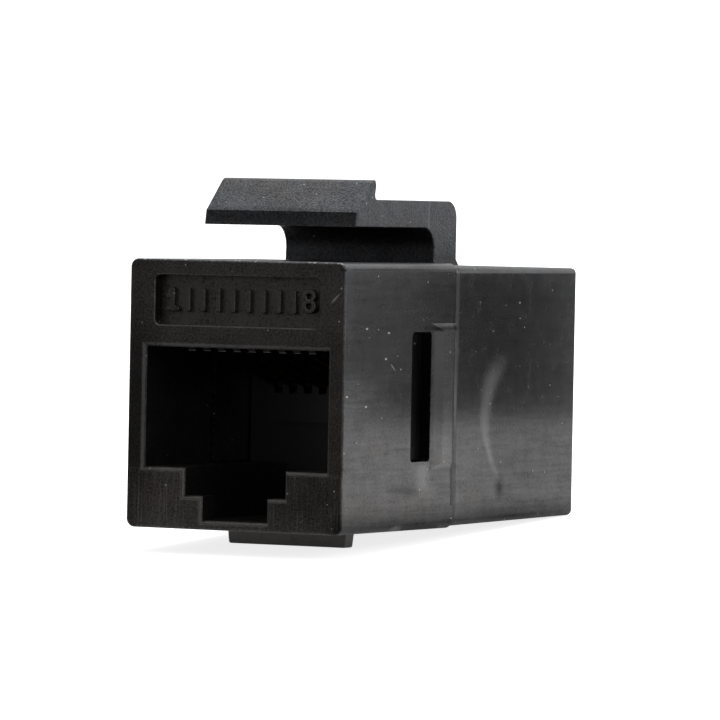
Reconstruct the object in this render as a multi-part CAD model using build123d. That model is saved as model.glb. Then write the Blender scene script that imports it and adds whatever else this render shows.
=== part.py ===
from build123d import *
import os
from math import radians, tan

# Snap-in inline coupler for network cable. Two moulded half housings close over a circuit
# board, and the board joins the sprung contacts of a front port to those of a rear port.
#
# Millimetres. The front face lies in the plane y = 0 and the front port looks towards -Y.
# X is the width, Z is up, and the origin is the middle of the front face. The port, carrier
# and contacts of the rear half are those of the front half, turned over about the X axis.

# Port opening: a plug's width, a narrower step for its key and a slot for its latch
PORT_WIDTH = 12.25
PORT_HEIGHT = 7.17
KEY_WIDTH = 6.75
KEY_STEP = 1.65
LATCH_SLOT_WIDTH = 4.35
LATCH_SLOT_STEP = 1.44
LATCH_SLOT_WALL = 0.54
PORT_LEAD_IN = 0.25
PORT_DEPTH = 12.9
FACE_WALL = 1.8  # the wall that the latch of a plug catches behind

# Sunken panel above the front port
PANEL_WIDTH = 11.05
PANEL_HEIGHT = 2.98
PANEL_DEPTH = 0.75
PANEL_ABOVE_PORT = 1.3
PANEL_TOP_WALL = 0.92
PANEL_CORNER_RADIUS = 0.35
PANEL_RIM_BEVEL = 0.07

# Outside of the front housing, which is as wide and as high as the port and panel make it
PORT_SIDE_WALL = 1.125
BODY_CORNER_RADIUS = 0.5
FACE_EDGE_RADIUS = 0.15
RIM_DEPTH = 1.45  # how far the front housing's rim laps over the carrier behind the port

# Snap joint between the halves: an ear inside each side wall, with a catch in a window
SIDE_WALL = 0.8
EAR_THICKNESS = 0.4
EAR_HEIGHT = 8.5
EAR_LENGTH = 5.95
EAR_CLEARANCE = 0.05
EAR_END_GAP = 0.3
WINDOW_SETBACK = 0.48
WINDOW_LENGTH = 2.53
WINDOW_HEIGHT = 7.78
WINDOW_CORNER_RADIUS = 0.25
CATCH_CLEARANCE = 0.1
CATCH_CREST = 1.6
CATCH_SINK = 0.62  # the catch stays this far below the outside of the body
BOW_HEIGHT = 8.8  # the side wall behind each window is bowed out over the ear
BOW_CREST_HEIGHT = 7.9
BOW_RISE = 1.4
BOW_DEPTH = 0.14
PRY_NOTCH_DEPTH = 0.3
PRY_NOTCH_TOP = 4.0
PRY_NOTCH_BOTTOM = -6.6

# Panel catches: a fixed foot below and a sprung latch above, with their backs in one plane
CATCH_PLANE = 7.8
FOOT_WIDTH = 8.1
FOOT_HEIGHT = 1.08
FOOT_THICKNESS = 1.0
FOOT_SIDE_ANGLE = 83
FOOT_EDGE_RADIUS = 0.12
LATCH_WIDTH = 10.24
LATCH_GAP = 2.1
LATCH_ARM_THICKNESS = 1.65
LATCH_LEG_THICKNESS = 3.03
LATCH_LEG_SETBACK = 0.97
LATCH_LEG_LEAN = 0.12
LATCH_OUTER_RADIUS = 1.05
LATCH_INNER_RADIUS = 1.3
LATCH_GUSSET = 0.35
LATCH_LIP_THICKNESS = 0.87
LATCH_LIP_LEAN = 0.15
LATCH_BARB_LENGTH = 2.5
LATCH_BARB_HEIGHT = 1.17
LATCH_CREST_SETBACK = 0.13
LATCH_CREST_LENGTH = 0.3
LATCH_CREST_RADIUS = 0.6
LATCH_CREST_DROP = 0.35
LATCH_UNDERCUT = 0.22
LATCH_BARB_BACK_RADIUS = 0.4
LATCH_BARB_ROOT_RADIUS = 0.3
LATCH_EDGE_BEVEL = 0.05

# Rear housing
SEAM_GAP = 0.1
SHOULDER_DROP_SIDE = 0.04
SHOULDER_DROP_TOP = 0.1
SHOULDER_EDGE_RADIUS = 0.45
REAR_DRAFT = 0.55
REAR_EDGE_RADIUS = 0.2

# Carriers and circuit board, in a bore that is half in each housing. A rise or a drop is
# measured from the ceiling of the port
BORE_WALL = 1.3
CARRIER_CLEARANCE = 0.1
CARRIER_BACK = 2.0
BOARD_THICKNESS = 1.6
SHELF_MARGIN = 0.5
SHELF_RISE = 0.3
SHELF_THICKNESS = 3.1
COMB_CLEARANCE = 0.1
COMB_LENGTH = 1.6
COMB_DROP = 0.25
COMB_EDGE_BEVEL = 0.15
GUIDE_DEPTH = 0.9
GUIDE_DROP = 4.65
GUIDE_SLOT_DROP = 2.9
PEG_DIAMETER = 1.0
PEG_LENGTH = 1.2
PEG_INSET = 1.0
PEG_OFFSET_Z = 1.0
PEG_CLEARANCE = 0.05

# Spring contacts: flat wire, laid alternately high and low in the carrier
CONTACTS = 8
PITCH = 1.016
WIRE_WIDTH = 0.45
WIRE_THICKNESS = 0.3
WIRE_CLEARANCE = 0.05
WIRE_BEND_RADIUS = 0.45
HIGH_RUN_RISE = 2.55
LOW_RUN_RISE = 1.45
BEND_SETBACK = 0.35
ARM_RISE = 0.4
ARM_DROP = 2.97  # the free end of a contact lies this far below the start of its arm
ARM_END_GAP = 0.3
TAIL_LENGTH = 0.6
TAIL_POCKET_DEPTH = 0.9
TAIL_POCKET_MARGIN = 0.25
SOLDER_BASE_RADIUS = 0.48
SOLDER_HEIGHT = 0.4
SOLDER_TAPER = 22
SOLDER_SIDES = 12

# How far a cutter runs past the face that it opens, and a fused detail into its body
CUT = 1.0
ROOT = 0.5

# Depths, front to back
BOARD_FRONT = PORT_DEPTH + CARRIER_BACK
BOARD_BACK = BOARD_FRONT + BOARD_THICKNESS
LENGTH = BOARD_FRONT + BOARD_BACK
FRONT_LENGTH = PORT_DEPTH + RIM_DEPTH
SHOULDER = FRONT_LENGTH + SEAM_GAP
EAR_FRONT = SHOULDER - EAR_LENGTH
EAR_POCKET_FRONT = EAR_FRONT - EAR_END_GAP
WINDOW_FRONT = EAR_POCKET_FRONT + WINDOW_SETBACK
WINDOW_BACK = WINDOW_FRONT + WINDOW_LENGTH
COMB_FRONT = FACE_WALL + COMB_CLEARANCE
GUIDE_FRONT = PORT_DEPTH - GUIDE_DEPTH
LATCH_LEG_FRONT = SHOULDER + LATCH_LEG_SETBACK

# Widths, and heights measured from the middle of the body
ABOVE_PORT = PANEL_TOP_WALL + PANEL_HEIGHT + PANEL_ABOVE_PORT
BELOW_PORT = KEY_STEP + LATCH_SLOT_STEP + LATCH_SLOT_WALL
BODY_WIDTH = PORT_WIDTH + 2 * PORT_SIDE_WALL
BODY_HEIGHT = ABOVE_PORT + PORT_HEIGHT + BELOW_PORT
BODY_SIDE = BODY_WIDTH / 2
BODY_TOP = BODY_HEIGHT / 2
PORT_CEILING = BODY_TOP - ABOVE_PORT
PORT_FLOOR = PORT_CEILING - PORT_HEIGHT
KEY_FLOOR = PORT_FLOOR - KEY_STEP
EAR_OUTER = BODY_SIDE - SIDE_WALL - EAR_CLEARANCE
EAR_INNER = EAR_OUTER - EAR_THICKNESS
REAR_WIDTH = BODY_WIDTH - 2 * SHOULDER_DROP_SIDE
REAR_HEIGHT = BODY_HEIGHT - 2 * SHOULDER_DROP_TOP
REAR_END_TOP = REAR_HEIGHT / 2 - (LENGTH - SHOULDER) * tan(radians(REAR_DRAFT))
BORE_WIDTH = 2 * EAR_INNER
BORE_HEIGHT = BODY_HEIGHT - 2 * BORE_WALL
CARRIER_WIDTH = BORE_WIDTH - 2 * CARRIER_CLEARANCE
CARRIER_HEIGHT = BORE_HEIGHT - 2 * CARRIER_CLEARANCE
SLOT_WIDTH = WIRE_WIDTH + 2 * WIRE_CLEARANCE
COMB_WIDTH = (CONTACTS + 1) * PITCH - SLOT_WIDTH
SHELF_WIDTH = COMB_WIDTH + 2 * SHELF_MARGIN
SHELF_UNDERSIDE = PORT_CEILING + SHELF_RISE
SHELF_TOP = SHELF_UNDERSIDE + SHELF_THICKNESS
GUIDE_BOTTOM = PORT_CEILING - GUIDE_DROP
GUIDE_SLOT_FLOOR = PORT_CEILING - GUIDE_SLOT_DROP
HIGH_RUN = PORT_CEILING + HIGH_RUN_RISE
LOW_RUN = PORT_CEILING + LOW_RUN_RISE
ARM_START = PORT_CEILING + ARM_RISE
PEG_OFFSET_X = CARRIER_WIDTH / 2 - PEG_INSET


def rectangle(left, right, bottom, top):
    """A rectangle between two places across and two heights."""
    return Pos((left + right) / 2, (bottom + top) / 2) * Rectangle(right - left, top - bottom)


def centred(width, bottom, top):
    """A rectangle that is centred across."""
    return rectangle(-width / 2, width / 2, bottom, top)


def along_y(outline, start, end):
    """An outline in X and Z, run from one depth back to another."""
    return extrude(Plane.XZ.offset(-start) * outline, amount=start - end)


def across_x(outline, width, middle=0):
    """A side view in Y and Z, given a width to both sides of a place in X."""
    return extrude(Plane.YZ.offset(middle) * outline, amount=width / 2, both=True)


def turned_over(shape):
    """The same shape at the other end of the coupler, turned over about the X axis."""
    return shape.rotate(Axis((0, LENGTH / 2, 0), (1, 0, 0)), 180)


def round_corner(outline, place, radius):
    """The outline with the corner nearest to a place rounded."""
    corner = outline.vertices().sort_by_distance((*place, 0))[0]
    return fillet(corner, radius)


def port_space(slot_floor):
    """All that one port takes out of its housing: the stepped opening for a plug, the wider
    space behind the face for the plug's latch, the channel of the comb and half the bore."""
    opening = (
        centred(PORT_WIDTH, PORT_FLOOR, PORT_CEILING)
        + centred(KEY_WIDTH, KEY_FLOOR, PORT_CEILING)
        + centred(LATCH_SLOT_WIDTH, slot_floor, PORT_CEILING)
    )
    latch_space = centred(KEY_WIDTH, slot_floor, PORT_CEILING)
    channel = centred(SHELF_WIDTH + 2 * COMB_CLEARANCE, PORT_FLOOR, SHELF_TOP + COMB_CLEARANCE)
    bore = centred(BORE_WIDTH, -BORE_HEIGHT / 2, BORE_HEIGHT / 2)
    space = along_y(opening, -CUT, PORT_DEPTH)
    space += along_y(latch_space + channel, FACE_WALL, PORT_DEPTH)
    return space + along_y(bore, PORT_DEPTH, LENGTH - SHOULDER + CUT)


def bevelled_mouth(face, size, pick=max):
    """The solid of a face with the longest inner edge of the face, or the shortest, bevelled."""
    mouth = pick(face.inner_wires(), key=lambda wire: wire.length)
    return chamfer(mouth.edges(), size)


def bowed_wall():
    """The outside of the wall behind the right window, bowed out over the ear."""
    base = rectangle(WINDOW_BACK, FRONT_LENGTH, -BOW_HEIGHT / 2, BOW_HEIGHT / 2)
    crest = rectangle(
        WINDOW_BACK + BOW_RISE, FRONT_LENGTH, -BOW_CREST_HEIGHT / 2, BOW_CREST_HEIGHT / 2
    )
    outside = Plane.YZ.offset(BODY_SIDE)
    return loft([outside * base, outside.offset(BOW_DEPTH) * crest], ruled=True)


def panel_foot():
    """The fixed catch under the body, narrower towards its tip."""
    outline = Trapezoid(FOOT_WIDTH, FOOT_HEIGHT, FOOT_SIDE_ANGLE, rotation=180)
    foot = along_y(outline, CATCH_PLANE - FOOT_THICKNESS, CATCH_PLANE)
    foot = fillet(foot.faces().sort_by(Axis.Z)[0].edges(), FOOT_EDGE_RADIUS)
    root = along_y(
        centred(FOOT_WIDTH, 0, ROOT), CATCH_PLANE - FOOT_THICKNESS, CATCH_PLANE
    )
    return Pos(0, 0, -BODY_TOP - FOOT_HEIGHT / 2) * foot + Pos(0, 0, -BODY_TOP) * root


def ear_pockets():
    """The slots inside both side walls that the ears slide into."""
    half_height = EAR_HEIGHT / 2 + CATCH_CLEARANCE
    pocket = rectangle(
        EAR_INNER - EAR_CLEARANCE, EAR_OUTER + EAR_CLEARANCE, -half_height, half_height
    )
    return along_y(pocket + mirror(pocket, Plane.YZ), EAR_POCKET_FRONT, FRONT_LENGTH + CUT)


def front_housing():
    outline = RectangleRounded(BODY_WIDTH, BODY_HEIGHT, BODY_CORNER_RADIUS)
    housing = along_y(outline, 0, FRONT_LENGTH)
    housing = fillet(housing.faces().sort_by(Axis.Y)[0].edges(), FACE_EDGE_RADIUS)
    bow = bowed_wall()
    housing += bow
    housing += mirror(bow, Plane.YZ)
    housing += panel_foot()
    housing -= port_space(LATCH_SLOT_WALL - BODY_TOP)
    housing -= ear_pockets()

    window = RectangleRounded(WINDOW_LENGTH, WINDOW_HEIGHT, WINDOW_CORNER_RADIUS)
    window_middle = (WINDOW_FRONT + WINDOW_BACK) / 2
    housing -= across_x(Pos(window_middle, 0) * window, BODY_WIDTH + 2 * CUT)
    notch = rectangle(
        FRONT_LENGTH - PRY_NOTCH_DEPTH, FRONT_LENGTH + CUT, PRY_NOTCH_BOTTOM, PRY_NOTCH_TOP
    )
    housing -= across_x(notch, BODY_WIDTH + 2 * CUT)

    panel = RectangleRounded(PANEL_WIDTH, PANEL_HEIGHT, PANEL_CORNER_RADIUS)
    panel_middle = BODY_TOP - PANEL_TOP_WALL - PANEL_HEIGHT / 2
    housing -= along_y(Pos(0, panel_middle) * panel, -CUT, PANEL_DEPTH)
    housing = bevelled_mouth(housing.faces().sort_by(Axis.Y)[0], PORT_LEAD_IN)
    return bevelled_mouth(housing.faces().sort_by(Axis.Y)[0], PANEL_RIM_BEVEL, min)


def ear():
    """The right ear, and the catch on it that ramps up towards the back."""
    outline = rectangle(EAR_INNER, EAR_OUTER, -EAR_HEIGHT / 2, EAR_HEIGHT / 2)
    tongue = along_y(outline, EAR_FRONT, SHOULDER + ROOT)
    catch_front = WINDOW_FRONT + CATCH_CLEARANCE
    catch_back = WINDOW_BACK - CATCH_CLEARANCE
    crest = BODY_SIDE - CATCH_SINK
    plan = make_face(
        Polyline(
            (EAR_INNER, catch_front),
            (EAR_OUTER, catch_front),
            (crest, catch_back - CATCH_CREST),
            (crest, catch_back),
            (EAR_INNER, catch_back),
            close=True,
        )
    )
    catch_height = WINDOW_HEIGHT - 2 * CATCH_CLEARANCE
    return tongue + extrude(plan, amount=catch_height / 2, both=True)


def panel_latch():
    """The sprung latch: a leg on top of the body, an arm that reaches forward from it, and a
    barb at the arm's end that ramps up to a crest and is undercut behind it."""
    underside = BODY_TOP + LATCH_GAP
    arm_top = underside + LATCH_ARM_THICKNESS
    crest_top = arm_top + LATCH_BARB_HEIGHT
    leg_foot = REAR_HEIGHT / 2
    leg_back = LATCH_LEG_FRONT + LATCH_LEG_THICKNESS
    lip = CATCH_PLANE - LATCH_BARB_LENGTH
    crest_back = CATCH_PLANE - LATCH_CREST_SETBACK

    crest = (crest_back - LATCH_CREST_LENGTH, crest_top)
    barb_back = (CATCH_PLANE, crest_top - LATCH_CREST_DROP)
    barb_root = (CATCH_PLANE - LATCH_UNDERCUT, arm_top)
    outer_bend = (leg_back, arm_top)
    inner_bend = (LATCH_LEG_FRONT + LATCH_LEG_LEAN, underside)
    side_view = make_face(
        Polyline(
            (lip - LATCH_LIP_LEAN, underside),
            (lip, underside + LATCH_LIP_THICKNESS),
            crest,
            (crest_back, crest_top),
            barb_back,
            barb_root,
            outer_bend,
            (leg_back, leg_foot + LATCH_GUSSET),
            (leg_back + LATCH_GUSSET + ROOT, leg_foot - ROOT),
            (LATCH_LEG_FRONT, leg_foot - ROOT),
            inner_bend,
            close=True,
        )
    )
    side_view = round_corner(side_view, crest, LATCH_CREST_RADIUS)
    side_view = round_corner(side_view, barb_back, LATCH_BARB_BACK_RADIUS)
    side_view = round_corner(side_view, barb_root, LATCH_BARB_ROOT_RADIUS)
    side_view = round_corner(side_view, outer_bend, LATCH_OUTER_RADIUS)
    side_view = round_corner(side_view, inner_bend, LATCH_INNER_RADIUS)
    latch = across_x(side_view, LATCH_WIDTH)
    return chamfer(latch.faces().filter_by(Axis.X).edges(), LATCH_EDGE_BEVEL)


def rear_housing():
    outline = RectangleRounded(REAR_WIDTH, REAR_HEIGHT, BODY_CORNER_RADIUS)
    housing = extrude(
        Plane.XZ.offset(-SHOULDER) * outline, amount=SHOULDER - LENGTH, taper=REAR_DRAFT
    )
    housing = fillet(housing.faces().sort_by(Axis.Y)[0].edges(), SHOULDER_EDGE_RADIUS)
    housing = fillet(housing.faces().sort_by(Axis.Y)[-1].edges(), REAR_EDGE_RADIUS)
    housing += panel_latch()
    housing -= turned_over(port_space(LATCH_SLOT_WALL - REAR_END_TOP))
    housing += ear()
    housing += mirror(ear(), Plane.YZ)
    return bevelled_mouth(housing.faces().sort_by(Axis.Y)[-1], PORT_LEAD_IN)


def contact_place(number):
    """Where a contact lies across, and the height of its straight run in the carrier."""
    across = (number - (CONTACTS + 1) / 2) * PITCH
    run = HIGH_RUN if number % 2 else LOW_RUN
    return across, run


def wire_channel(number):
    """The way that the carrier leaves for one contact."""
    across, run = contact_place(number)
    run_floor = run - WIRE_THICKNESS / 2
    run_ceiling = run + WIRE_THICKNESS / 2 + WIRE_CLEARANCE
    side_view = (
        rectangle(COMB_FRONT - CUT, COMB_FRONT + COMB_LENGTH, 0, SHELF_TOP + CUT)
        + rectangle(COMB_FRONT, PORT_DEPTH, run_floor, SHELF_TOP + CUT)
        + rectangle(COMB_FRONT, BOARD_FRONT + CUT, run_floor, run_ceiling)
        + rectangle(GUIDE_FRONT - CUT, PORT_DEPTH, GUIDE_SLOT_FLOOR, SHELF_UNDERSIDE)
    )
    return across_x(side_view, SLOT_WIDTH, across)


def pegs(diameter, length):
    """A pair of round pegs, or the holes for them, from the back of the carrier."""
    peg = Pos(PEG_OFFSET_X, PEG_OFFSET_Z) * Circle(diameter / 2)
    return along_y(peg + mirror(peg, Plane.YZ), BOARD_FRONT, BOARD_FRONT + length)


def contact_carrier():
    """A plate behind the port, the shelf over the plug with its comb of nine ribs, and the
    slotted guide in which the free ends of the contacts move."""
    half_height = CARRIER_HEIGHT / 2
    carrier = along_y(
        centred(CARRIER_WIDTH, -half_height, half_height), PORT_DEPTH, BOARD_FRONT
    )
    carrier += along_y(centred(SHELF_WIDTH, SHELF_UNDERSIDE, SHELF_TOP), COMB_FRONT, PORT_DEPTH)
    comb = along_y(
        centred(COMB_WIDTH, PORT_CEILING - COMB_DROP, SHELF_TOP),
        COMB_FRONT,
        COMB_FRONT + COMB_LENGTH,
    )
    comb_lip = comb.faces().sort_by(Axis.Y)[0].edges().sort_by(Axis.Z)[0]
    carrier += chamfer(comb_lip, COMB_EDGE_BEVEL)
    guide = centred(COMB_WIDTH, GUIDE_BOTTOM, SHELF_UNDERSIDE)
    carrier += along_y(guide, GUIDE_FRONT, PORT_DEPTH)
    for number in range(1, CONTACTS + 1):
        carrier -= wire_channel(number)

    margin = SOLDER_BASE_RADIUS + TAIL_POCKET_MARGIN
    last_contact, _ = contact_place(CONTACTS)
    pocket = centred(2 * (last_contact + margin), -HIGH_RUN - margin, -LOW_RUN + margin)
    carrier -= along_y(pocket, BOARD_FRONT - TAIL_POCKET_DEPTH, BOARD_FRONT + CUT)
    return carrier + pegs(PEG_DIAMETER, PEG_LENGTH)


def contact(number):
    """A flat wire from its soldered tail, forward through the carrier, down in the comb and
    back into the port as a sloping spring arm."""
    across, run = contact_place(number)
    bend = COMB_FRONT + BEND_SETBACK
    arm_end = PORT_DEPTH - ARM_END_GAP
    path = FilletPolyline(
        (BOARD_BACK + TAIL_LENGTH, run),
        (bend, run),
        (bend, ARM_START),
        (arm_end, ARM_START - ARM_DROP),
        radius=WIRE_BEND_RADIUS,
    )
    return across_x(trace(path, WIRE_THICKNESS), WIRE_WIDTH, across)


def solder_joint(number):
    """The cone of solder round one tail, on the far side of the board."""
    outline = Pos(*contact_place(number)) * RegularPolygon(SOLDER_BASE_RADIUS, SOLDER_SIDES)
    cone = extrude(
        Plane.XZ.offset(-BOARD_BACK) * outline, amount=-SOLDER_HEIGHT, taper=SOLDER_TAPER
    )
    tail = Pos(*contact_place(number)) * Rectangle(WIRE_WIDTH, WIRE_THICKNESS)
    return cone - along_y(tail, BOARD_BACK, BOARD_BACK + SOLDER_HEIGHT + CUT)


def tail_holes():
    """The punched holes in the board for the flat tails of the front contacts."""
    hole = Rectangle(SLOT_WIDTH, WIRE_THICKNESS + 2 * WIRE_CLEARANCE)
    holes = Sketch()
    for number in range(1, CONTACTS + 1):
        holes += Pos(*contact_place(number)) * hole
    return along_y(holes, BOARD_FRONT, BOARD_BACK)


def circuit_board():
    half_height = CARRIER_HEIGHT / 2
    board = along_y(
        centred(CARRIER_WIDTH, -half_height, half_height), BOARD_FRONT, BOARD_BACK
    )
    holes = tail_holes() + pegs(PEG_DIAMETER + 2 * PEG_CLEARANCE, BOARD_THICKNESS)
    return board - holes - turned_over(holes)


def solder_joints():
    joints = Part() + [solder_joint(number) for number in range(1, CONTACTS + 1)]
    return joints + turned_over(joints)


def pieces():
    """Every piece by its name."""
    carrier = contact_carrier()
    found = {
        "front_housing": front_housing(),
        "rear_housing": rear_housing(),
        "circuit_board": circuit_board(),
        "solder_joints": solder_joints(),
        "front_contact_carrier": carrier,
        "rear_contact_carrier": turned_over(carrier),
    }
    for number in range(1, CONTACTS + 1):
        spring = contact(number)
        found[f"front_contact_{number}"] = spring
        found[f"rear_contact_{number}"] = turned_over(spring)
    return found


os.makedirs("parts", exist_ok=True)
for name, piece in pieces().items():
    export_step(piece, f"parts/{name}.step")
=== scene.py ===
"""Looks of a snap-in inline coupler for network cable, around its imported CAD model.

Blender works in metres, in the frame of the CAD: the front port looks towards -Y, X is the width
and Z is up. Sizes of patterns and marks are written in millimetres and turned by MM.
"""
from math import cos, radians, sin

import bmesh
import bpy
from mathutils import Matrix, Vector


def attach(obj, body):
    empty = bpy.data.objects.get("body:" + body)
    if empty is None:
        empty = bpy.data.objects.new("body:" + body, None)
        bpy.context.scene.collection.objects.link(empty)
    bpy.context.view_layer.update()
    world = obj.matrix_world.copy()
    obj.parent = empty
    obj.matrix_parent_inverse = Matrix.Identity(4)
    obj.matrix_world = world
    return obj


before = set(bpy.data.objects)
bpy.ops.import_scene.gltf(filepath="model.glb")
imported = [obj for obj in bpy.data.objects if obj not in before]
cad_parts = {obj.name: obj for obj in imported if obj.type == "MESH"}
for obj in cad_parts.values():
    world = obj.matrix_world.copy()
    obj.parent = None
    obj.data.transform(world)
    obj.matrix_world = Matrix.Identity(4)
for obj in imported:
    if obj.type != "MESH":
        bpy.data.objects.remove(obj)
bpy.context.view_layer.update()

MM = 0.001

# Where the photographer stood, fitted to the corners of the body
CAMERA_TURN = radians(27.6618)
CAMERA_PITCH = radians(1.25389)
CAMERA_ROLL = radians(1.10590)
CAMERA_DISTANCE = 417.358
CAMERA_AIM = (0, 12, 0)
CAMERA_SHIFT_RIGHT = 1.7774
CAMERA_SHIFT_UP = 2.0298
LENS = 344.336
SENSOR = 36

# The body: its length, half its width and its top
LENGTH = 31.4
HALF_WIDTH = 7.25
BODY_TOP = 8.0

# The part stands on its foot and on the lower edge of its rear end, each given as Y and Z
FOOT_UNDERSIDE = (7.73, -9.08)
REAR_UNDERSIDE = (LENGTH, -7.74)
FLOOR_SLOPE = (REAR_UNDERSIDE[1] - FOOT_UNDERSIDE[1]) / (REAR_UNDERSIDE[0] - FOOT_UNDERSIDE[0])
FLOOR_RADIUS = 3000

# The sunken panel and the pin marks in it
PANEL_WIDTH = 11.05
PANEL_DEPTH = 0.75
PANEL_MIDDLE = 5.59
PINS = 8
PIN_PITCH = 1.016
MARK_WIDTH = 0.3
MARK_HEIGHT = 1.4
MARK_RISE = 0.3
MARK_EDGE = 0.05
NUMBER_ACROSS = 4.62
NUMBER_SIZE = 1.95
NUMBER_SWELL = 0.03
ONE_FOOT = 0.45
ONE_FLAG = 0.35

# Sizes of the patterns in the skin
GRAIN = 0.13
GRAIN_DEPTH = 0.03
GLOSS_SPOT = 0.9
CLOUD = 1.2
FLOW_MARK = 0.25
TINT_PATCH = 2.6
FLASH_GLINT = 0.22
CUTTER_LINE = 0.16

# Regions of the skin that fade in: the direction, where each begins and where it is full
FADING_REGIONS = {"latch": ("up", 8.2, 8.6),
                  "top_edge": ("up", BODY_TOP - 0.1, BODY_TOP - 0.05),
                  "high": ("up", -7.0, 9.0),
                  "below_ramp": ("up", 4.0, 3.9),
                  "low": ("up", -4.4, -4.7),
                  "foot": ("up", -8.0, -8.2),
                  "face": ("back", 0.12, 0.04),
                  "front_edge": ("back", 0.24, 0.18),
                  "near_seam": ("back", 15.0, 14.6),
                  "side": ("out", 6.9, 7.05),
                  "past_side": ("out", HALF_WIDTH, HALF_WIDTH + 0.05)}

# Regions with a sharp border: the direction, the border and the side of it they lie on
SHARP_REGIONS = {"below_top": ("up", BODY_TOP - 0.1, "LESS_THAN"),
                 "below_panel": ("up", 3.3, "LESS_THAN"),
                 "behind_face": ("back", 0.04, "GREATER_THAN"),
                 "sunken": ("back", 0.05, "GREATER_THAN"),
                 "at_mouth": ("back", 0.18, "LESS_THAN"),
                 "near_face": ("back", PANEL_DEPTH + 0.1, "LESS_THAN"),
                 "behind_seam": ("back", 14.4, "GREATER_THAN"),
                 "within_port": ("out", 6.6, "LESS_THAN"),
                 "within_face": ("out", HALF_WIDTH - 0.1, "LESS_THAN"),
                 "inside": ("out", HALF_WIDTH - 0.06, "LESS_THAN")}

# Round regions: the middle and the reach, as X across, Y back from the face and Z up
ROUND_REGIONS = {"window": ((HALF_WIDTH - 0.5, 10.0, 0.0), (1.5, 4.0, 12.0)),
                 "panel_left": ((-PANEL_WIDTH / 2, PANEL_DEPTH / 2, PANEL_MIDDLE),
                                (0.13, 1.1, 5.0))}

# Regions that lie where others overlap
OVERLAPS = {"window_hollow": ("window", "inside"),
            "panel_reveal_shade": ("panel_left", "sunken", "below_top"),
            "bow": ("past_side", "below_ramp"),
            "shoulder": ("near_seam", "behind_seam", "side"),
            "bevel": ("behind_face", "at_mouth", "within_port", "below_panel"),
            "flat_face": ("near_face", "within_face", "below_top"),
            "low_face": ("low", "face"),
            "torn_edge": ("top_edge", "front_edge")}

# Regions painted pale as highlights, where their slopes and edges catch the light, and how pale
HIGHLIGHT_REGIONS = {"bow": 0.4, "foot": 0.7, "shoulder": 0.8, "bevel": 0.8}

# Scratches from handling: each middle and reach, and its turn in degrees
SCRATCHES = [((6.6, 0, 5.9), (0.5, 0.3, 0.08), (0, -45, 0)),
             ((HALF_WIDTH, 6.25, 1.8), (0.3, 0.5, 0.05), (-35, 0, 0))]
SCRATCH_SHARE = 0.6
# Spots painted pale as highlights, below the window and on the latch's parting line: middle and
# reach
HIGHLIGHT_SPOTS = [((HALF_WIDTH, 10.3, -4.9), (0.6, 1.2, 1.3)),
              ((5.12, 14.72, 10.8), (0.6, 0.12, 1.6))]

# Grains of dust on the right wall, as Y and Z, and the spacing of those strewn everywhere
DUST_GRAINS = [(2.81, 4.12), (5.63, 3.86), (5.31, 2.32), (0.45, 0.14), (2.87, -0.48), (23.3, 5.6)]
DUST_REACH = (0.3, 0.2, 0.08)
DUST_SPACING = 1.0

# Patches of painted reflection and painted shade, where the skin mirrors more or less: the middle,
# the reach and the change
PAINTED_SHEEN_PATCHES = [((HALF_WIDTH, 8.3, -5.6), (0.6, 2.6, 0.6), -0.6),
                ((HALF_WIDTH, 20.9, -5.7), (0.6, 0.9, 1.0), -0.6),
                ((HALF_WIDTH, 5.0, 7.6), (0.6, 20.0, 0.13), -0.75),
                ((HALF_WIDTH, 16.0, -8.0), (1.0, 60.0, 1.9), -0.9),
                ((HALF_WIDTH + 0.1, 13.0, 4.08), (0.8, 4.0, 0.26), -0.9),
                ((HALF_WIDTH + 0.1, 14.15, -0.2), (0.7, 0.4, 6.5), -1.6),
                ((HALF_WIDTH, 16.4, 1.0), (0.7, 3.4, 6.4), 0.45),
                ((HALF_WIDTH, 26.0, -4.0), (1.0, 14.0, 4.6), -0.4),
                ((HALF_WIDTH, 11.0, 6.2), (0.6, 2.4, 1.4), -0.3),
                ((-6.6, 0, -1.5), (1.6, 0.4, 12.0), -0.6),
                ((-5.0, 0, -6.2), (3.4, 0.4, 2.6), 0.4),
                ((5.2, 0, -6.2), (3.4, 0.4, 2.6), -0.35),
                ((0, 5.35, 10.6), (14.0, 0.4, 1.0), -0.5),
                ((0, 7.2, -8.7), (14.0, 1.6, 1.4), 1.4),
                ((0, 0.5, 5.6), (14.0, 0.9, 3.8), 0.9)]

# The pale streak down the rear walls: where it bends, as Y and Z, its widths and its ends
STREAK_BEND = (18.7, -1.5)
STREAK_CURVE = 0.15
STREAK_HALF_WIDTH = 1.15
STREAK_SPREAD = 0.25
STREAK_THIN = 0.65
STREAK_TOP = 2.6
STREAK_TOP_FADE = 1.6
STREAK_FOOT = -5.8
STREAK_FOOT_FADE = 2.4

# Painted highlights on the rib corners in the ports' combs: how far in, and at which height
RIB_CORNER_DEPTH = 2.1
RIB_CORNER_FADE = 0.1
RIB_CORNER_HEIGHT = 2.52
RIB_CORNER_HALF = 0.07

# Sizes of the patterns in the other materials
FIBRE = 0.06
FIBRE_DEPTH = 0.004
WEAVE = 3.14
WEAVE_DEPTH = 0.01
DRAWN_LINE = 0.05
DRAWN_LINE_DEPTH = 0.001
CRYSTAL = 0.09
CRYSTAL_DEPTH = 0.006

# How far apart a wave node's stripes are at scale 1
STRIPE = 0.314

# How far the cards that the right wall mirrors stand from it, along the mirrored ray
CARD_DISTANCE = 20

# The mixing node's colour sockets, which share their names with others
COLOUR_A, COLOUR_B, COLOUR_RESULT = 6, 7, 2


def linear(hex_colour):
    """An sRGB colour such as "#2a2b2c" as the linear colour that sockets take."""
    channels = [int(hex_colour[i:i + 2], 16) / 255 for i in (1, 3, 5)]
    return [c / 12.92 if c <= 0.04045 else ((c + 0.055) / 1.055) ** 2.4 for c in channels] + [1.0]


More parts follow.
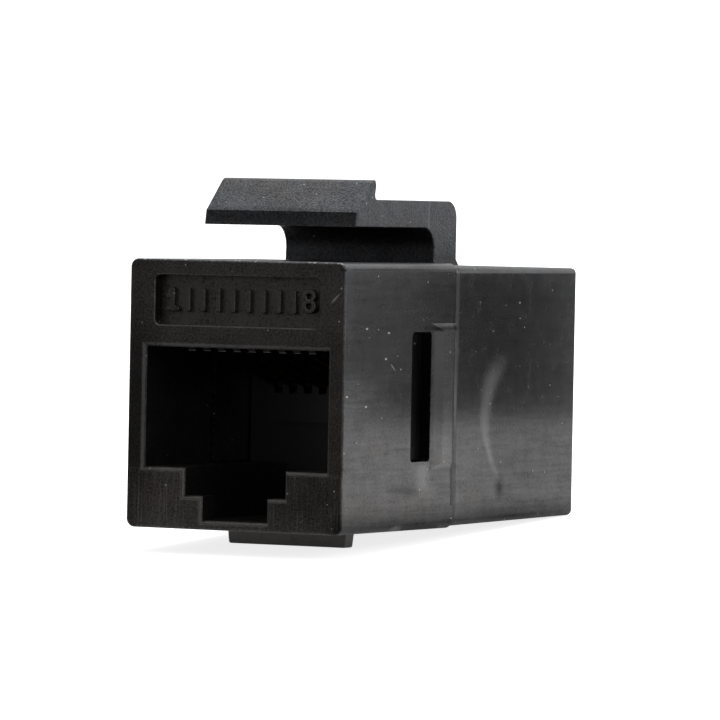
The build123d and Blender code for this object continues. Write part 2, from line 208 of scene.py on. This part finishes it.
def feed(node, inputs):
    """Sets a node's inputs to values, or links them to outputs of other nodes."""
    for name, value in inputs.items():
        if isinstance(value, bpy.types.NodeSocket):
            node.id_data.links.new(value, node.inputs[name])
        else:
            node.inputs[name].default_value = value


def add(tree, kind, inputs=None, out=0, **settings):
    """Adds a node with its settings and inputs, and returns one of its outputs. A node that has
    none is returned itself."""
    node = tree.nodes.new("ShaderNode" + kind)
    for name, value in settings.items():
        setattr(node, name, value)
    feed(node, inputs or {})
    return node.outputs[out] if len(node.outputs) else node


def new_material(name):
    """A material with a Principled shader, its node tree and the shader."""
    material = bpy.data.materials.new(name)
    material.use_nodes = True
    return material, material.node_tree, material.node_tree.nodes["Principled BSDF"]


def bare_material(name):
    """A material with an empty node tree, and the tree."""
    material = bpy.data.materials.new(name)
    material.use_nodes = True
    material.node_tree.nodes.clear()
    return material, material.node_tree


def soft_spot(tree, place, middle, reach, turn=(0, 0, 0)):
    """1 in the middle of a soft ellipsoid, given in millimetres and degrees, and 0 outside it."""
    local = add(tree, "Mapping", {"Vector": place, "Location": Vector(middle) * MM,
                                  "Rotation": [radians(angle) for angle in turn],
                                  "Scale": Vector(reach) * MM}, vector_type="TEXTURE")
    away = add(tree, "VectorMath", {0: local}, "Value", operation="LENGTH")
    return add(tree, "MapRange", {0: away, 1: 1.0, 2: 0.25})


def dust(tree, place):
    """1 on pale grains of dust and in scratches, 0 elsewhere: a few listed, the rest strewn."""
    cells = add(tree, "TexVoronoi", {"Vector": place, "Scale": 1 / (DUST_SPACING * MM)},
                out="Distance")
    grains = add(tree, "MapRange", {0: cells, 1: 0.06, 2: 0.03})
    for back, up in DUST_GRAINS:
        grain = soft_spot(tree, place, (HALF_WIDTH, back, up), DUST_REACH)
        grains = add(tree, "Math", {0: grains, 1: grain}, operation="MAXIMUM")
    for middle, reach, turn in SCRATCHES:
        scratch = soft_spot(tree, place, middle, reach, turn)
        grains = add(tree, "Math", {0: scratch, 1: SCRATCH_SHARE, 2: grains},
                     operation="MULTIPLY_ADD", use_clamp=True)
    return grains


def torn_glints(tree, place, region):
    """Small glints of painted highlight along the ragged top edge of the face, where the mould
    halves met.
    """
    flash_glints = add(tree, "TexNoise", {"Vector": place, "Scale": 1 / (FLASH_GLINT * MM), "Detail": 1.0})
    flash_glints = add(tree, "MapRange", {0: flash_glints, 1: 0.62, 2: 0.68, 4: 0.8})
    return add(tree, "Math", {0: flash_glints, 1: region["torn_edge"]}, operation="MULTIPLY")


def pale_streak(tree, place):
    """1 along the pale streak down the middle of the rear walls, 0 elsewhere. It bows back from
    its bend and widens upwards."""
    back, up = add(tree, "SeparateXYZ", {0: place}).node.outputs[1:]
    above = add(tree, "Math", {0: up, 1: STREAK_BEND[1] * MM}, operation="SUBTRACT")
    square = add(tree, "Math", {0: above, 1: above}, operation="MULTIPLY")
    middle = add(tree, "Math", {0: square, 1: STREAK_CURVE / MM, 2: STREAK_BEND[0] * MM},
                 operation="MULTIPLY_ADD")
    away = add(tree, "Math", {0: back, 1: middle}, operation="SUBTRACT")
    away = add(tree, "Math", {0: away}, operation="ABSOLUTE")
    half_width = add(tree, "Math", {0: above, 1: STREAK_SPREAD, 2: STREAK_HALF_WIDTH * MM},
                     operation="MULTIPLY_ADD")
    half_width = add(tree, "Math", {0: half_width, 1: STREAK_THIN * MM}, operation="MAXIMUM")
    share = add(tree, "Math", {0: away, 1: half_width}, operation="DIVIDE")
    streak = add(tree, "MapRange", {0: share, 1: 1.0, 2: 0.0}, interpolation_type="SMOOTHSTEP")
    for end, full in ((STREAK_TOP, STREAK_TOP - STREAK_TOP_FADE),
                      (STREAK_FOOT, STREAK_FOOT + STREAK_FOOT_FADE)):
        fade = add(tree, "MapRange", {0: up, 1: end * MM, 2: full * MM})
        streak = add(tree, "Math", {0: streak, 1: fade}, operation="MULTIPLY")
    return streak


def skin_regions(tree, place):
    """How far a point of the housing lies in each region of its skin, from 0 to 1, by name."""
    across, back, up = add(tree, "SeparateXYZ", {0: place}).node.outputs
    out = add(tree, "Math", {0: across}, operation="ABSOLUTE")
    along = {"out": out, "back": back, "up": up}
    region = {}
    for name, (direction, start, full) in FADING_REGIONS.items():
        region[name] = add(tree, "MapRange", {0: along[direction], 1: start * MM, 2: full * MM})
    for name, (direction, border, side) in SHARP_REGIONS.items():
        region[name] = add(tree, "Math", {0: along[direction], 1: border * MM}, operation=side)
    for name, (middle, reach) in ROUND_REGIONS.items():
        region[name] = soft_spot(tree, place, middle, reach)
    for name, (first, *others) in OVERLAPS.items():
        region[name] = region[first]
        for other in others:
            region[name] = add(tree, "Math", {0: region[name], 1: region[other]},
                               operation="MULTIPLY")
    # Painted shade: the recess behind the window and the panel's left reveal are made darker
    region["hollow"] = add(tree, "Math", {0: region["window_hollow"], 1: region["panel_reveal_shade"]},
                           operation="MAXIMUM")
    return region


def skin_sheen(tree, place, region, grain):
    """How strongly the skin mirrors, 0.5 being what the index of refraction gives. The grain,
    clouds, flow marks along the side walls and patches of painted reflection and painted shade
    vary it, and painted shade keeps recesses from mirroring much."""
    side_grain = add(tree, "MapRange", {0: region["side"], 3: 1.0, 4: 0.6})
    grain_sheen = add(tree, "MapRange", {0: grain, 1: 0.25, 2: 0.75, 3: -0.5, 4: 0.5}, clamp=False)
    grain_sheen = add(tree, "Math", {0: grain_sheen, 1: side_grain}, operation="MULTIPLY")
    along = add(tree, "Mapping", {"Vector": place, "Scale": (1, 0.06, 1)}, vector_type="POINT")
    flow = add(tree, "TexNoise", {"Vector": along, "Scale": 1 / (FLOW_MARK * MM), "Detail": 3.0})
    flow_sheen = add(tree, "MapRange", {0: flow, 1: 0.25, 2: 0.75, 3: -0.2, 4: 0.2})
    flow_sheen = add(tree, "Math", {0: flow_sheen, 1: region["side"]}, operation="MULTIPLY")
    clouds = add(tree, "TexNoise", {"Vector": place, "Scale": 1 / (CLOUD * MM), "Detail": 3.0})
    sheen = add(tree, "MapRange", {0: clouds, 1: 0.25, 2: 0.75, 3: 0.46, 4: 0.72})
    for change in (grain_sheen, flow_sheen):
        sheen = add(tree, "Math", {0: sheen, 1: change}, operation="ADD")
    sheen = add(tree, "Math", {0: sheen, 1: 0.12}, operation="MAXIMUM")

    # Painted shade: the recess behind the window and the panel's left reveal hardly mirror
    share = add(tree, "MapRange", {0: region["hollow"], 3: 1.0, 4: 0.1})
    # Patches of painted reflection and painted shade
    for middle, reach, change in PAINTED_SHEEN_PATCHES:
        patch = soft_spot(tree, place, middle, reach)
        share = add(tree, "Math", {0: patch, 1: change, 2: share}, operation="MULTIPLY_ADD")
    share = add(tree, "Math", {0: share, 1: 0.05}, operation="MAXIMUM")
    return add(tree, "Math", {0: sheen, 1: share}, operation="MULTIPLY", use_clamp=True)


def skin_colour(tree, place, region, grain):
    """Nearly black, paler along the streak down the rear walls, with painted highlights where
    slopes and edges catch the light, painted shade in the recesses, pale dust and scratches, and
    painted glints."""
    pale_streak_and_highlights = add(tree, "Math", {0: pale_streak(tree, place), 1: region["side"]},
               operation="MULTIPLY")
    # Painted highlights on two spots, below the window and on the latch's parting line
    for middle, reach in HIGHLIGHT_SPOTS:
        pale_streak_and_highlights = add(tree, "Math", {0: pale_streak_and_highlights, 1: soft_spot(tree, place, middle, reach)},
                   operation="MAXIMUM")
    # Painted highlights on the bow, foot, shoulders and port bevels, where they catch the light
    for name, share in HIGHLIGHT_REGIONS.items():
        painted_highlight = add(tree, "Math", {0: region[name], 1: share}, operation="MULTIPLY")
        pale_streak_and_highlights = add(tree, "Math", {0: pale_streak_and_highlights, 1: painted_highlight}, operation="MAXIMUM")
    # Real dust and scratches, with painted glints along the top edge of the face
    pale = add(tree, "Math", {0: dust(tree, place), 1: torn_glints(tree, place, region)},
               operation="MAXIMUM")
    colour = linear("#060607")
    # Mixed into the colour: the random grain, the streak with painted highlights, painted shade in
    # the recesses, and dust with painted glints
    for share, hex_colour in ((grain, "#201f1e"), (pale_streak_and_highlights, "#5a5a59"), (region["hollow"], "#020202"),
                              (pale, "#b9b8b2")):
        colour = add(tree, "Mix", {0: share, COLOUR_A: colour, COLOUR_B: linear(hex_colour)},
                     COLOUR_RESULT, data_type="RGBA")
    return colour


def skin_tint(tree, place, region):
    """The tint of what the skin mirrors, a painted reflection of the surroundings' colour: cooler
    the higher and in soft patches, and mostly warm on the face."""
    patches = add(tree, "TexNoise", {"Vector": place, "Scale": 1 / (TINT_PATCH * MM),
                                     "Detail": 2.0})
    patches = add(tree, "MapRange", {0: patches, 1: 0.35, 2: 0.65, 4: 0.5})
    cool = add(tree, "Math", {0: region["high"], 1: 0.6, 2: patches}, operation="MULTIPLY_ADD",
               use_clamp=True)
    face_share = add(tree, "MapRange", {0: region["flat_face"], 3: 1.0, 4: 0.3})
    cool = add(tree, "Math", {0: cool, 1: face_share}, operation="MULTIPLY")
    return add(tree, "Mix", {0: cool, COLOUR_A: linear("#fff3e8"), COLOUR_B: linear("#e4ecfa")},
               COLOUR_RESULT, data_type="RGBA")


def skin_relief(tree, place, region, grain):
    """The grain, deepest on the latch and none on the side walls, and lines that the mould's
    cutter left down the lower corners of the face."""
    depth = add(tree, "MapRange", {0: region["latch"], 3: 0.14, 4: 1.0})
    off_side = add(tree, "Math", {0: 1.0, 1: region["side"]}, operation="SUBTRACT")
    depth = add(tree, "Math", {0: depth, 1: off_side}, operation="MULTIPLY")
    height = add(tree, "Math", {0: grain, 1: depth}, operation="MULTIPLY")
    down = add(tree, "Mapping", {"Vector": place, "Scale": (1, 1, 0.05)}, vector_type="POINT")
    lines = add(tree, "TexNoise", {"Vector": down, "Scale": 1 / (CUTTER_LINE * MM), "Detail": 1.0})
    lines = add(tree, "Math", {0: lines, 1: region["low_face"]}, operation="MULTIPLY")
    height = add(tree, "Math", {0: lines, 1: 3.2, 2: height}, operation="MULTIPLY_ADD")
    return add(tree, "Bump", {"Strength": 1.0, "Distance": GRAIN_DEPTH * MM, "Height": height})


def moulded_abs():
    """ABS, injection moulded in black from a spark-eroded tool: a satin skin, nearly black face on
    and grey where it mirrors pale surroundings at a slant. A fine sparkling grain, warm and cool
    clouds, flow marks along the side walls, dust and scratches, with painted highlights, painted
    shade and painted glints in places."""
    material, tree, shader = new_material("moulded black ABS")
    place = add(tree, "TexCoord", out="Object")
    region = skin_regions(tree, place)
    grain = add(tree, "TexNoise", {"Vector": place, "Scale": 1 / (GRAIN * MM), "Detail": 2.0,
                                   "Roughness": 0.7})
    # The side walls are glossier than the grained latch and face
    gloss = add(tree, "TexNoise", {"Vector": place, "Scale": 1 / (GLOSS_SPOT * MM),
                                   "Detail": 2.0})
    roughness = add(tree, "MapRange", {0: gloss, 1: 0.3, 2: 0.7, 3: 0.36, 4: 0.41})
    roughness = add(tree, "Math", {0: region["side"], 1: -0.13, 2: roughness},
                    operation="MULTIPLY_ADD")
    feed(shader, {"Base Color": skin_colour(tree, place, region, grain),
                  "Specular IOR Level": skin_sheen(tree, place, region, grain),
                  "Specular Tint": skin_tint(tree, place, region),
                  "Normal": skin_relief(tree, place, region, grain),
                  "Roughness": roughness, "IOR": 1.53})
    return material


def glass_filled_nylon():
    """Nylon filled with short glass fibre, moulded in black: a little glossier than the housing,
    with fibre ends that show as fine pale flecks."""
    material, tree, shader = new_material("glass-filled black nylon")
    place = add(tree, "TexCoord", out="Object")
    # Fibres 0.3 mm long and 0.06 mm wide, drawn coarser than the real 0.01 mm so that they show
    stretched = add(tree, "Mapping", {"Vector": place, "Scale": (1, 1, 0.2)}, vector_type="POINT")
    fibres = add(tree, "TexNoise", {"Vector": stretched, "Scale": 1 / (FIBRE * MM), "Detail": 1.0})
    fleck = add(tree, "MapRange", {0: fibres, 1: 0.66, 2: 0.74})
    colour = add(tree, "Mix", {0: fleck, COLOUR_A: linear("#0e0e0f"),
                               COLOUR_B: linear("#2b2b2a")}, COLOUR_RESULT, data_type="RGBA")
    # Painted highlights: the lower corners of the comb's ribs are painted pale, as glints of light
    back, up = add(tree, "SeparateXYZ", {0: place}).node.outputs[1:]
    from_middle = add(tree, "Math", {0: back, 1: LENGTH / 2 * MM}, operation="SUBTRACT")
    from_middle = add(tree, "Math", {0: from_middle}, operation="ABSOLUTE")
    corner_start = LENGTH / 2 - RIB_CORNER_DEPTH
    ends = add(tree, "MapRange", {0: from_middle, 1: corner_start * MM,
                                  2: (corner_start + RIB_CORNER_FADE) * MM})
    height = add(tree, "Math", {0: up}, operation="ABSOLUTE")
    corners = add(tree, "Math", {0: height, 1: RIB_CORNER_HEIGHT * MM, 2: RIB_CORNER_HALF * MM},
                  operation="COMPARE")
    painted_rib_glints = add(tree, "Math", {0: ends, 1: corners}, operation="MULTIPLY")
    colour = add(tree, "Mix", {0: painted_rib_glints, COLOUR_A: colour, COLOUR_B: linear("#b0b0ad")},
                 COLOUR_RESULT, data_type="RGBA")
    bump = add(tree, "Bump", {"Strength": 1.0, "Distance": FIBRE_DEPTH * MM, "Height": fibres})
    feed(shader, {"Base Color": colour, "Normal": bump, "Roughness": 0.34, "IOR": 1.55})
    return material


def board_laminate():
    """Glass laminate under green solder mask: a glossy skin, with the weave showing through as
    faint squares. They are drawn about 3 mm across, where real ones are 0.5 mm, so that they
    show."""
    material, tree, shader = new_material("green solder mask on glass laminate")
    place = add(tree, "TexCoord", out="Object")
    across, up = (add(tree, "TexWave", {"Vector": place, "Scale": STRIPE / (WEAVE * MM),
                                        "Distortion": 0.4}, bands_direction=direction)
                  for direction in ("X", "Z"))
    weave = add(tree, "Math", {0: across, 1: up}, operation="MULTIPLY")
    colour = add(tree, "Mix", {0: weave, COLOUR_A: linear("#0f3d22"),
                               COLOUR_B: linear("#175a33")}, COLOUR_RESULT, data_type="RGBA")
    bump = add(tree, "Bump", {"Strength": 1.0, "Distance": WEAVE_DEPTH * MM, "Height": weave})
    feed(shader, {"Base Color": colour, "Normal": bump, "Roughness": 0.22})
    return material


def gold_plating():
    """Gold plating on spring bronze wire: warm gold, its colour darkened as painted shade for the
    dim ports it sits in, with the fine lines that drawing leaves along the wire."""
    material, tree, shader = new_material("gold-plated spring bronze")
    place = add(tree, "TexCoord", out="Object")
    along = add(tree, "Mapping", {"Vector": place, "Scale": (1, 0.02, 0.02)}, vector_type="POINT")
    lines = add(tree, "TexNoise", {"Vector": along, "Scale": 1 / (DRAWN_LINE * MM), "Detail": 2.0})
    # Painted shade: the gold is darkened for the dim ports it sits in
    colour = add(tree, "Mix", {0: lines, COLOUR_A: linear("#82602a"),
                               COLOUR_B: linear("#96743a")}, COLOUR_RESULT, data_type="RGBA")
    roughness = add(tree, "MapRange", {0: lines, 1: 0.3, 2: 0.7, 3: 0.2, 4: 0.34})
    bump = add(tree, "Bump", {"Strength": 1.0, "Distance": DRAWN_LINE_DEPTH * MM, "Height": lines})
    feed(shader, {"Base Color": colour, "Normal": bump, "Roughness": roughness, "Metallic": 1.0})
    return material


def tin_solder():
    """Lead-free tin solder, set from the melt: pale grey, frosted by small crystals."""
    material, tree, shader = new_material("frosted tin solder")
    place = add(tree, "TexCoord", out="Object")
    crystals = add(tree, "TexVoronoi", {"Vector": place, "Scale": 1 / (CRYSTAL * MM)},
                   out="Distance")
    colour = add(tree, "Mix", {0: crystals, COLOUR_A: linear("#a9abad"),
                               COLOUR_B: linear("#d0d1d2")}, COLOUR_RESULT, data_type="RGBA")
    bump = add(tree, "Bump", {"Strength": 1.0, "Distance": CRYSTAL_DEPTH * MM,
                              "Height": crystals})
    feed(shader, {"Base Color": colour, "Normal": bump, "Roughness": 0.4, "Metallic": 1.0})
    return material


def dress(names, material):
    """Gives CAD nodes their material."""
    for name in names:
        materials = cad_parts[name].data.materials
        materials.clear()
        materials.append(material)


def new_piece(name, shape, material):
    """A new object of a shape, in the scene."""
    mesh = bpy.data.meshes.new(name)
    shape.to_mesh(mesh)
    shape.free()
    mesh.materials.append(material)
    piece = bpy.data.objects.new(name, mesh)
    bpy.context.collection.objects.link(piece)
    return piece


def bars_and_one():
    """The raised bars, one above each contact, and the numeral 1, lying flat."""
    shape = bmesh.new()
    half = MARK_WIDTH / 2
    top = MARK_HEIGHT / 2
    for number in range(PINS):
        across = (number - (PINS - 1) / 2) * PIN_PITCH
        corners = ((-half, -top), (half, -top), (half, top), (-half, top))
        shape.faces.new([shape.verts.new((across + x, y, 0)) for x, y in corners])
    # The numeral 1, from its foot up the right side of the stem and down by the flag
    numeral = ((ONE_FOOT, -top), (ONE_FOOT, MARK_WIDTH - top), (half, MARK_WIDTH - top),
               (half, top), (-half, top), (-ONE_FOOT, top - ONE_FLAG),
               (-ONE_FOOT, top - ONE_FLAG - MARK_WIDTH), (-half, top - 2 * MARK_WIDTH),
               (-half, MARK_WIDTH - top), (-ONE_FOOT, MARK_WIDTH - top), (-ONE_FOOT, -top))
    shape.faces.new([shape.verts.new((x - NUMBER_ACROSS, y, 0)) for x, y in numeral])
    bmesh.ops.bevel(shape, geom=shape.verts[:], affect="VERTICES", offset=MARK_WIDTH * 0.35,
                    segments=4, profile=0.5, material=-1)
    extruded = bmesh.ops.extrude_face_region(shape, geom=shape.faces[:])["geom"]
    raised = [item for item in extruded if isinstance(item, bmesh.types.BMVert)]
    bmesh.ops.translate(shape, verts=raised, vec=(0, 0, MARK_RISE))
    rim = [edge for edge in shape.edges if all(vert.co.z > MARK_RISE / 2 for vert in edge.verts)
           and len(edge.link_faces) == 2]
    bmesh.ops.bevel(shape, geom=rim, affect="EDGES", offset=MARK_EDGE, segments=3, profile=0.5,
                    material=-1)
    bmesh.ops.recalc_face_normals(shape, faces=shape.faces)
    return shape


def last_number():
    """The number of the last contact, lying flat."""
    curve = bpy.data.curves.new("number", "FONT")
    curve.body = str(PINS)
    curve.align_x, curve.align_y = "CENTER", "CENTER"
    curve.size = NUMBER_SIZE
    curve.extrude = MARK_RISE / 2
    curve.bevel_depth = MARK_EDGE
    curve.bevel_resolution = 2
    curve.offset = NUMBER_SWELL - MARK_EDGE
    letter = bpy.data.objects.new("number", curve)
    mesh = bpy.data.meshes.new_from_object(letter)
    mesh.transform(Matrix.Translation((NUMBER_ACROSS, 0, MARK_RISE / 2)))
    bpy.data.objects.remove(letter)
    return mesh


def pin_marks(material):
    """Moulded marks in the sunken panel: a bar above each contact, and the first and the last
    number of the row."""
    shape = bars_and_one()
    shape.from_mesh(last_number())
    upright = Matrix.Rotation(radians(90), 4, "X")
    on_panel = Matrix.Translation((0, PANEL_DEPTH, PANEL_MIDDLE))
    bmesh.ops.transform(shape, verts=shape.verts, matrix=on_panel @ upright)
    bmesh.ops.scale(shape, verts=shape.verts, vec=(MM, MM, MM))
    marks = new_piece("pin_marks", shape, material)
    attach(marks, "root")


def seen_white(tree):
    """1 for rays from the camera and for those that a mirror or glass sends on, else 0."""
    ray = add(tree, "LightPath").node.outputs
    direct = add(tree, "Math", {0: ray["Is Camera Ray"], 1: ray["Is Glossy Ray"]},
                 operation="MAXIMUM")
    return add(tree, "Math", {0: direct, 1: ray["Is Transmission Ray"]}, operation="MAXIMUM")


def white_surroundings():
    """A white backdrop to look at, and a softer one to light by."""
    world = bpy.data.worlds.new("white studio")
    bpy.context.scene.world = world
    world.use_nodes = True
    tree = world.node_tree
    tree.nodes.clear()
    soft = add(tree, "Background", {"Color": linear("#e6e8ea"), "Strength": 0.55})
    white = add(tree, "Background", {"Color": linear("#ffffff"), "Strength": 1.0})
    shown = add(tree, "MixShader", {0: seen_white(tree), 1: soft, 2: white})
    add(tree, "OutputWorld", {"Surface": shown})


def studio_floor():
    """A pale floor under the foot and the rear edge, white to the camera but for the shadow."""
    material, tree = bare_material("white studio floor")
    lit = add(tree, "BsdfDiffuse", {"Color": linear("#ededee")})
    ray = add(tree, "LightPath").node.outputs
    seen = add(tree, "Math", {0: ray["Is Camera Ray"], 1: 0.8}, operation="MULTIPLY")
    lift = add(tree, "Math", {0: ray["Is Glossy Ray"], 1: 0.2, 2: seen},
               operation="MULTIPLY_ADD")
    glow = add(tree, "Emission", {"Color": linear("#ffffff"), "Strength": lift})
    white = add(tree, "AddShader", {0: lit, 1: glow})
    # From below the floor is clear, so that the underside can be looked at
    from_below = add(tree, "NewGeometry", out="Backfacing")
    clear = add(tree, "BsdfTransparent")
    whole = add(tree, "MixShader", {0: from_below, 1: white, 2: clear})
    add(tree, "OutputMaterial", {"Surface": whole})

    shape = bmesh.new()
    bmesh.ops.create_circle(shape, cap_ends=True, segments=64, radius=FLOOR_RADIUS * MM)
    bmesh.ops.rotate(shape, verts=shape.verts, matrix=Matrix.Rotation(FLOOR_SLOPE, 3, "X"))
    bmesh.ops.translate(shape, verts=shape.verts, vec=Vector((0, *FOOT_UNDERSIDE)) * MM)
    floor = new_piece("studio_floor", shape, material)


def soft_lamp(name, place, aim, size, power):
    """A soft box of a width and height in metres, aimed at a point."""
    light = bpy.data.lights.new(name, "AREA")
    light.shape = "RECTANGLE"
    light.size, light.size_y = size
    light.energy = power
    lamp = bpy.data.objects.new(name, light)
    lamp.location = place
    lamp.rotation_mode = "QUATERNION"
    lamp.rotation_quaternion = (Vector(aim) - Vector(place)).to_track_quat("-Z", "Y")
    bpy.context.collection.objects.link(lamp)


def card(name, corners, shade):
    """A card of an even shade that the plastic mirrors, given by its corners in millimetres. The
    camera doesn't see it, and the lamps shine through it."""
    material, tree = bare_material(name)
    even = add(tree, "Emission", {"Color": linear("#ffffff"), "Strength": shade})
    add(tree, "OutputMaterial", {"Surface": even})
    shape = bmesh.new()
    shape.faces.new([shape.verts.new(Vector(corner) * MM) for corner in corners])
    board = new_piece(name, shape, material)
    board.visible_camera = False
    board.visible_transmission = False
    board.visible_shadow = False


def card_beside(name, depths, heights, shade):
    """A card that the camera sees mirrored in the right wall, between two depths and two heights
    of the wall."""
    eye = bpy.context.scene.camera.matrix_world.translation / MM
    corners = []
    for back, up in ((0, 0), (1, 0), (1, 1), (0, 1)):
        wall = Vector((HALF_WIDTH, depths[back], heights[up]))
        ray = (wall - eye).normalized()
        ray.x = -ray.x
        corners.append(wall + ray * CARD_DISTANCE)
    card(name, corners, shade)


def camera():
    """The photograph's camera: long lens, low and to the right of the front face."""
    ahead = Vector((-sin(CAMERA_TURN) * cos(CAMERA_PITCH), cos(CAMERA_TURN) * cos(CAMERA_PITCH),
                    -sin(CAMERA_PITCH)))
    level = Vector((cos(CAMERA_TURN), sin(CAMERA_TURN), 0))
    upright = level.cross(ahead)
    place = (Vector(CAMERA_AIM) - ahead * CAMERA_DISTANCE + level * CAMERA_SHIFT_RIGHT
             + upright * CAMERA_SHIFT_UP)
    right = level * cos(CAMERA_ROLL) + upright * sin(CAMERA_ROLL)
    up = upright * cos(CAMERA_ROLL) - level * sin(CAMERA_ROLL)
    data = bpy.data.cameras.new("camera")
    data.sensor_width = SENSOR
    data.lens = LENS
    data.clip_start, data.clip_end = 0.01, 20
    view = bpy.data.objects.new("camera", data)
    view.matrix_world = Matrix.Translation(place * MM) @ Matrix(
        (right, up, -ahead)).transposed().to_4x4()
    bpy.context.collection.objects.link(view)
    bpy.context.scene.camera = view


bpy.context.scene.view_settings.view_transform = "Standard"
camera()

ends = ("front", "rear")
abs_plastic = moulded_abs()
dress([f"{end}_housing" for end in ends], abs_plastic)
dress([f"{end}_contact_carrier" for end in ends], glass_filled_nylon())
dress([f"{end}_contact_{number + 1}" for end in ends for number in range(PINS)], gold_plating())
dress(["circuit_board"], board_laminate())
dress(["solder_joints"], tin_solder())

pin_marks(abs_plastic)

white_surroundings()
studio_floor()
soft_lamp("overhead", (0.02, 0.10, 0.42), (0, 0.015, 0), (0.30, 0.30), 1.5)
soft_lamp("right", (0.40, 0.10, 0.20), (0, 0.015, 0), (0.20, 0.20), 0.35)
card("camera_side", [(-280, -90, -70), (90, -240, -70), (90, -240, 190), (-280, -90, 190)], 0.35)
card("front_floor", [(-230, -185, -18.5), (110, -185, -18.5), (110, -5, -9.0), (-230, -5, -9.0)],
     0.02)
card_beside("beside_rear", (13.0, 36.0), (-1.7, 8.4), 0.045)
card_beside("beside_bow", (10.5, 13.0), (-1.7, 9.8), 0.22)
card_beside("beside_front", (-6.0, 10.5), (1.0, 8.0), 0.35)
card_beside("beside_middle", (2.5, 10.5), (-1.5, 1.0), 0.09)
